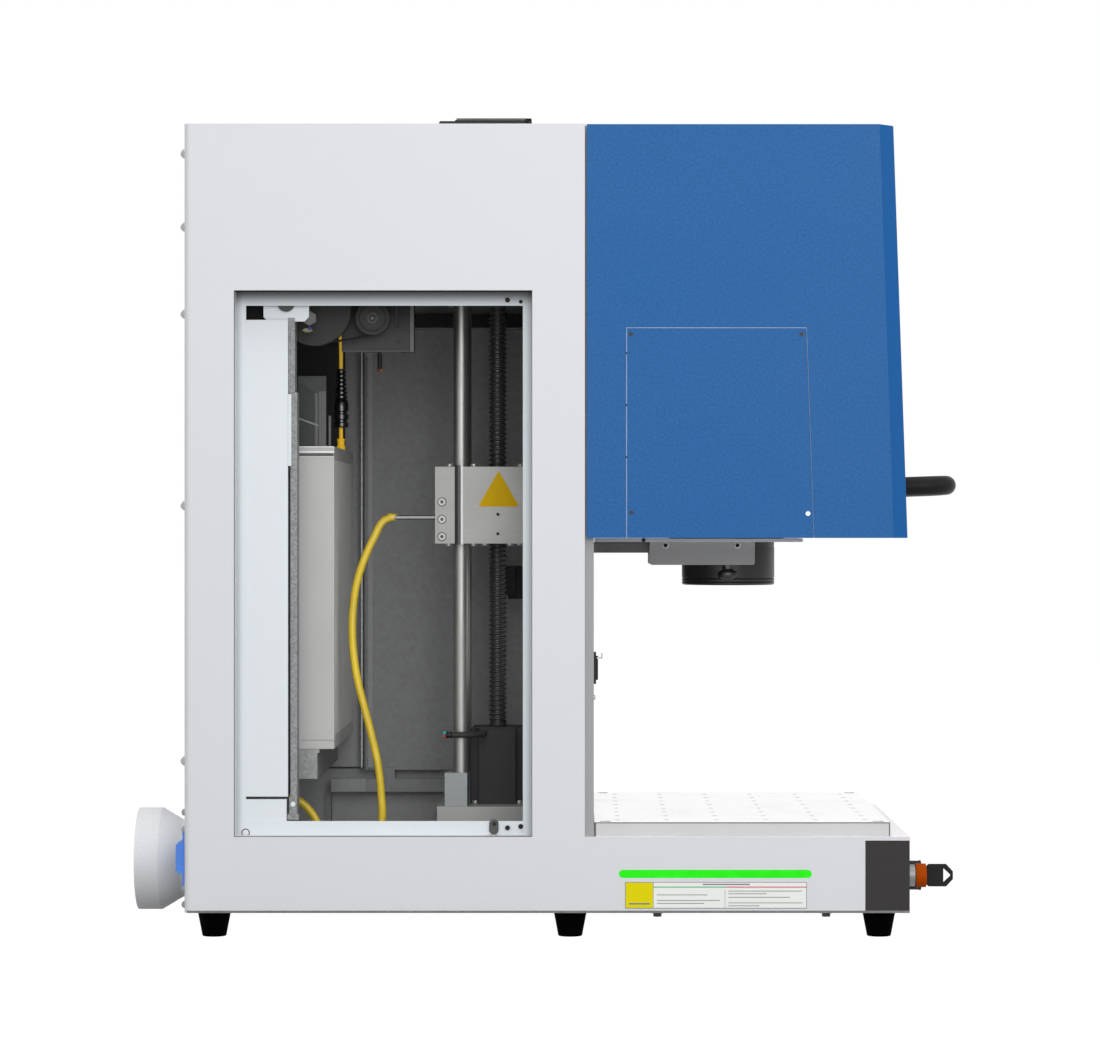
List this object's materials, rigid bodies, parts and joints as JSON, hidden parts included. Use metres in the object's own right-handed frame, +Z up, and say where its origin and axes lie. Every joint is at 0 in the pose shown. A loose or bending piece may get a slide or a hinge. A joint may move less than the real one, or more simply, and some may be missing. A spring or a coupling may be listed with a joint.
{
  "type": "fiber laser marking machine",
  "caption": "Desktop fiber laser marking machine: sheet metal column and base, lifting blue hood, scanning head driven by a lead screw over a flat work table, rear extraction duct.",
  "frame": {"origin": "middle of the footprint, on the surface that the feet stand on", "axes": "+X towards the operator, -Y the service side, +Z up"},
  "size_m": [0.845, 0.4305, 0.8218],
  "materials": {
    "white_paint": "powder coat, fine orange peel",
    "hood_blue": "textured powder coat",
    "front_blue": "smooth powder coat",
    "dark_panel": "powder coat",
    "grey_paint": "powder coat",
    "inner_grey": "powder coat",
    "galvanised": "galvanised",
    "table_metal": "milled, anodised",
    "machined": "milled",
    "source_case": "fine grained, anodised",
    "rod_steel": "ground and hard chromed",
    "steel_parts": "turned",
    "bronze": "turned",
    "black_steel": "black oxide",
    "black_anodised": "anodised",
    "black_plastic": "moulded",
    "black_handle": "moulded",
    "foot_rubber": "moulded",
    "belt_rubber": "moulded",
    "window_tint": "polished, tinted",
    "lamp_green": "diffusing, lit",
    "label_stock": "satin film",
    "yellow_jacket": "extruded",
    "stop_orange": "moulded",
    "blue_plastic": "moulded",
    "bezel_grey": "moulded"
  },
  "bodies": {
    "frame": {"near_side": "white_paint", "far_side": "white_paint", "rear_panel": "white_paint", "top_panel": "white_paint", "base_plates": "white_paint", "column_front": "grey_paint", "front_panel": "dark_panel", "lamp_strip": "lamp_green", "side_label": "label_stock", "feet": "foot_rubber", "frame_bolts": "steel_parts", "work_table": "table_metal", "shelves": "galvanised", "partitions": "white_paint", "laser_source": "source_case", "source_tray": "galvanised", "fibre_connector": "black_plastic", "fibre_cable": "yellow_jacket", "fibre_pigtail": "yellow_jacket", "controller_box": "galvanised", "rear_inner_plate": "inner_grey", "octagon_plate": "white_paint", "lift_plate": "black_steel", "lift_belt": "belt_rubber", "motors": "black_anodised", "guide_rods": "rod_steel", "rod_supports": "machined", "z_plates": "machined", "switches": "black_plastic", "hood_rails": "steel_parts", "control_bezels": "bezel_grey", "exhaust_duct": "white_paint", "fan_frame": "black_plastic", "mains_inlet": "blue_plastic", "port_frame": "black_plastic"},
    "lift_shaft": {"lift_shaft": "black_steel"},
    "motor_pulley": {"motor_pulley": "black_steel"},
    "lead_screw": {"lead_screw": "black_steel"},
    "switch_lever": {"switch_lever": "steel_parts"},
    "head": {"carriage": "machined", "linear_bearings": "steel_parts", "screw_nut": "bronze", "fibre_tube": "steel_parts", "head_arm": "black_anodised", "head_tray": "white_paint", "galvo_head": "black_anodised", "galvo_bracket": "grey_paint", "scan_lens": "black_anodised"},
    "hood": {"hood_sides": "hood_blue", "hood_access_panels": "hood_blue", "hood_front": "front_blue", "hood_top": "hood_blue", "hood_window": "window_tint", "hood_screws": "black_steel", "hood_handle": "black_handle", "hood_brackets": "galvanised"},
    "stop_button": {"stop_button": "stop_orange"},
    "key_switch": {"key_switch": "steel_parts"},
    "fan_rotor": {"fan_rotor": "black_plastic"},
    "port_lid": {"port_lid": "black_plastic"}
  },
  "joints": [
    {"name": "hood_slide", "type": "slide", "parent": "frame", "child": "hood", "axis": [0, 0, 1], "range_m": [-0.297, 0]},
    {"name": "head_slide", "type": "slide", "parent": "frame", "child": "head", "axis": [0, 0, 1], "range_m": [-0.13, 0], "deforming": ["fibre_cable"]},
    {"name": "screw_spin", "type": "hinge", "parent": "frame", "child": "lead_screw", "pos_m": [-0.05797, 0, 0.4], "axis": [0, 0, 1], "range_deg": [-9400, 10]},
    {"name": "lift_spin", "type": "hinge", "parent": "frame", "child": "lift_shaft", "pos_m": [-0.24057, 0, 0.6329], "axis": [0, 1, 0], "range_deg": [-855, 5]},
    {"name": "motor_pulley_spin", "type": "hinge", "parent": "frame", "child": "motor_pulley", "pos_m": [-0.18177, -0.14, 0.6243], "axis": [0, 1, 0], "range_deg": [-1885, 10]},
    {"name": "stop_press", "type": "slide", "parent": "frame", "child": "stop_button", "axis": [-1, 0, 0], "range_m": [0, 0.004], "stiffness_N_per_m": 900},
    {"name": "key_turn", "type": "hinge", "parent": "frame", "child": "key_switch", "pos_m": [0.35903, -0.138, 0.0564], "axis": [1, 0, 0], "range_deg": [0, 90]},
    {"name": "fan_spin", "type": "hinge", "parent": "frame", "child": "fan_rotor", "pos_m": [-0.35497, -0.122, 0.0724], "axis": [1, 0, 0], "continuous": true},
    {"name": "lid_hinge", "type": "hinge", "parent": "frame", "child": "port_lid", "pos_m": [-0.09647, -0.16, 0.8185], "axis": [0, -1, 0], "range_deg": [0, 95]},
    {"name": "lever_swing", "type": "hinge", "parent": "frame", "child": "switch_lever", "pos_m": [0.04743, -0.177, 0.2797], "axis": [0, -1, 0], "range_deg": [0, 8], "stiffness_Nm_per_rad": 0.0004}
  ],
  "couplings": [
    {"joint": "screw_spin", "follows": "head_slide", "rad_per_m": 1256.6},
    {"joint": "lift_spin", "follows": "hood_slide", "rad_per_m": 50},
    {"joint": "motor_pulley_spin", "follows": "hood_slide", "rad_per_m": 110.31}
  ]
}
